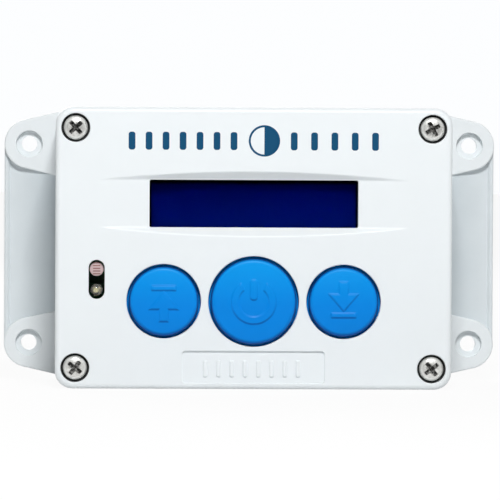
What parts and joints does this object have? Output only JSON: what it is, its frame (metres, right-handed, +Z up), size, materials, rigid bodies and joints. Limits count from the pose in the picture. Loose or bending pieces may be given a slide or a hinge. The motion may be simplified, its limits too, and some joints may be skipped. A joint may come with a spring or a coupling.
{
  "type": "automatic coop door opener",
  "caption": "Wall-mounted winding unit of an automatic poultry-house door, with a display, push buttons, a light sensor, a geared motor and a cord spool.",
  "frame": {"origin": "centre of the flat back face that lies on the wall", "axes": "+Y into the wall, +Z up, +X to the right as seen from the front, which faces -Y"},
  "size_m": [0.158, 0.0617, 0.088],
  "materials": {
    "base_plastic": "fine satin",
    "lid_plastic": "fine satin",
    "seal_rubber": "matt",
    "screw_steel": "zinc plated, satin",
    "window_clear": "clear acrylic",
    "bezel_black": "satin black",
    "lcd_glass": "polished glass with a dark blue backing",
    "circuit_board": "solder mask",
    "black_plastic": "fine matt",
    "connector_nylon": "natural nylon",
    "sensor_cell": "clear lacquer over a printed track",
    "led_clear": "clear epoxy",
    "button_blue": "satin gloss",
    "plunger_white": "matt",
    "battery_wrap": "printed film",
    "contact_steel": "nickel plated",
    "gear_acetal": "natural acetal",
    "plate_nylon": "glass-filled nylon",
    "brass": "turned",
    "pin_steel": "ground",
    "motor_steel": "zinc plated",
    "wire_red": "smooth PVC",
    "wire_black": "smooth PVC"
  },
  "bodies": {
    "case": {"base_housing": "base_plastic", "battery_1": "battery_wrap", "battery_2": "battery_wrap", "battery_3": "battery_wrap", "battery_4": "battery_wrap", "battery_holder": "black_plastic", "battery_lead_black": "wire_black", "battery_lead_red": "wire_red", "board_screw_1": "screw_steel", "board_screw_2": "screw_steel", "buzzer": "black_plastic", "contact_bridge_1": "contact_steel", "contact_bridge_2": "contact_steel", "contact_bridge_3": "contact_steel", "contact_negative": "contact_steel", "contact_positive": "contact_steel", "cord_eyelet": "black_plastic", "display_window": "window_clear", "down_switch_body": "black_plastic", "gearbox_plate_left": "plate_nylon", "gearbox_plate_right": "plate_nylon", "gearbox_spacer_1": "brass", "gearbox_spacer_2": "brass", "idler_pin_1": "pin_steel", "idler_pin_2": "pin_steel", "lcd_bezel": "bezel_black", "lcd_board": "circuit_board", "lcd_glass": "lcd_glass", "lcd_header": "black_plastic", "lid": "lid_plastic", "lid_gasket": "seal_rubber", "lid_screw_1": "screw_steel", "lid_screw_2": "screw_steel", "lid_screw_3": "screw_steel", "lid_screw_4": "screw_steel", "light_sensor": "sensor_cell", "main_board": "circuit_board", "microcontroller": "black_plastic", "motor_can": "motor_steel", "motor_connector": "connector_nylon", "motor_end_cap": "black_plastic", "motor_lead": "wire_black", "power_connector": "connector_nylon", "power_switch_body": "black_plastic", "spool_bush": "brass", "status_led": "led_clear", "up_switch_body": "black_plastic"},
    "up_cap": {"up_button": "button_blue"},
    "power_cap": {"power_button": "button_blue"},
    "down_cap": {"down_button": "button_blue"},
    "up_plunger": {"up_switch_plunger": "plunger_white"},
    "power_plunger": {"power_switch_plunger": "plunger_white"},
    "down_plunger": {"down_switch_plunger": "plunger_white"},
    "spool_group": {"output_gear": "gear_acetal", "spool_shaft": "pin_steel", "spool": "black_plastic"},
    "idler_group_1": {"idler_gear_1": "gear_acetal"},
    "idler_group_2": {"idler_gear_2": "gear_acetal"},
    "motor_rotor": {"motor_pinion": "brass", "motor_shaft": "pin_steel"}
  },
  "joints": [
    {"name": "up_press", "type": "slide", "parent": "case", "child": "up_cap", "axis": [0, 1, 0], "range_m": [0, 0.0005], "stiffness_N_per_m": 1500},
    {"name": "up_switch_press", "type": "slide", "parent": "case", "child": "up_plunger", "axis": [0, 1, 0], "range_m": [0, 0.0005]},
    {"name": "power_press", "type": "slide", "parent": "case", "child": "power_cap", "axis": [0, 1, 0], "range_m": [0, 0.0005], "stiffness_N_per_m": 1500},
    {"name": "power_switch_press", "type": "slide", "parent": "case", "child": "power_plunger", "axis": [0, 1, 0], "range_m": [0, 0.0005]},
    {"name": "down_press", "type": "slide", "parent": "case", "child": "down_cap", "axis": [0, 1, 0], "range_m": [0, 0.0005], "stiffness_N_per_m": 1500},
    {"name": "down_switch_press", "type": "slide", "parent": "case", "child": "down_plunger", "axis": [0, 1, 0], "range_m": [0, 0.0005]},
    {"name": "spool_spin", "type": "hinge", "parent": "case", "child": "spool_group", "pos_m": [0.02, -0.02, -0.022], "axis": [1, 0, 0], "continuous": true},
    {"name": "idler_2_spin", "type": "hinge", "parent": "case", "child": "idler_group_2", "pos_m": [0.02, -0.02, -0.0085], "axis": [1, 0, 0], "continuous": true},
    {"name": "idler_1_spin", "type": "hinge", "parent": "case", "child": "idler_group_1", "pos_m": [0.02, -0.02, 0.005], "axis": [1, 0, 0], "continuous": true},
    {"name": "motor_spin", "type": "hinge", "parent": "case", "child": "motor_rotor", "pos_m": [0.02, -0.02, 0.0185], "axis": [1, 0, 0], "continuous": true}
  ],
  "couplings": [
    {"joint": "up_switch_press", "follows": "up_press", "ratio": 1},
    {"joint": "power_switch_press", "follows": "power_press", "ratio": 1},
    {"joint": "down_switch_press", "follows": "down_press", "ratio": 1},
    {"joint": "idler_2_spin", "follows": "spool_spin", "ratio": -3.5},
    {"joint": "idler_1_spin", "follows": "spool_spin", "ratio": 12.25},
    {"joint": "motor_spin", "follows": "spool_spin", "ratio": -42.875}
  ]
}
